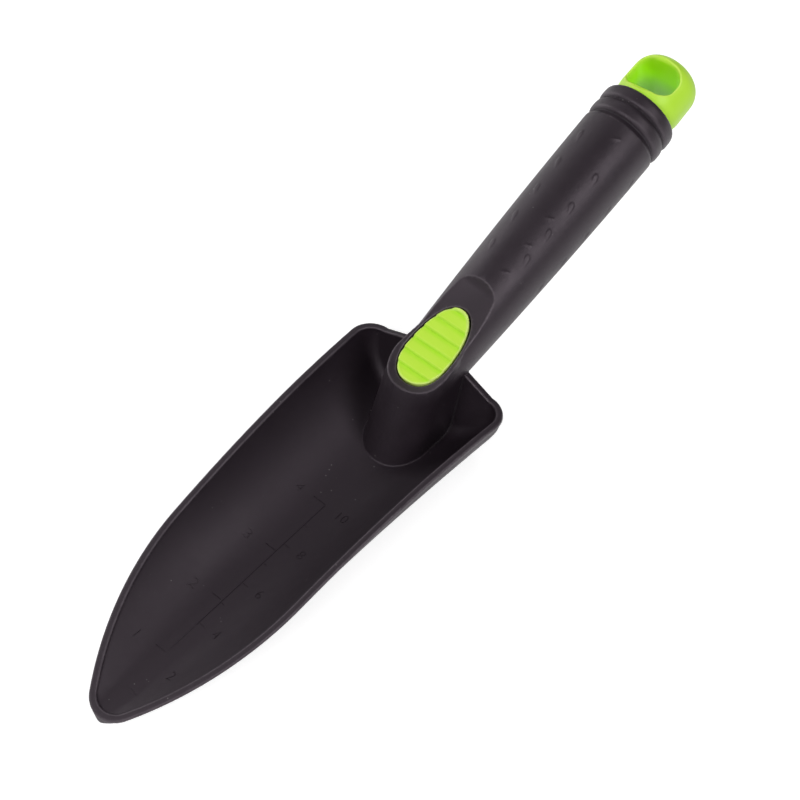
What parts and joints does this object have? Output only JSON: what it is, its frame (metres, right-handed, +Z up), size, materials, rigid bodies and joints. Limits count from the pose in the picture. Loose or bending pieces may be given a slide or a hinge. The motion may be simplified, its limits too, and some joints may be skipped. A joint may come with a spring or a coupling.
{
  "type": "garden trowel",
  "caption": "Moulded garden hand trowel with a deep pointed scoop, round hollow handle, ribbed thumb pad and slotted hanging cap.",
  "frame": {"origin": "on the ground under the middle of the tool's box, with the blade's flat sole lying on the ground and the handle raised", "axes": "+X toward the blade's tip, +Y to the left of someone who looks from the handle toward the tip, +Z up out of the scoop"},
  "size_m": [0.2948, 0.0644, 0.0829],
  "materials": {
    "black_plastic": "satin moulded, finely grained",
    "lime_rubber": "matte, soft touch",
    "lime_plastic": "smooth, slightly glossy"
  },
  "bodies": {
    "root": {"trowel_moulding": "black_plastic", "thumb_pad": "lime_rubber", "end_cap": "lime_plastic"}
  },
  "joints": []
}
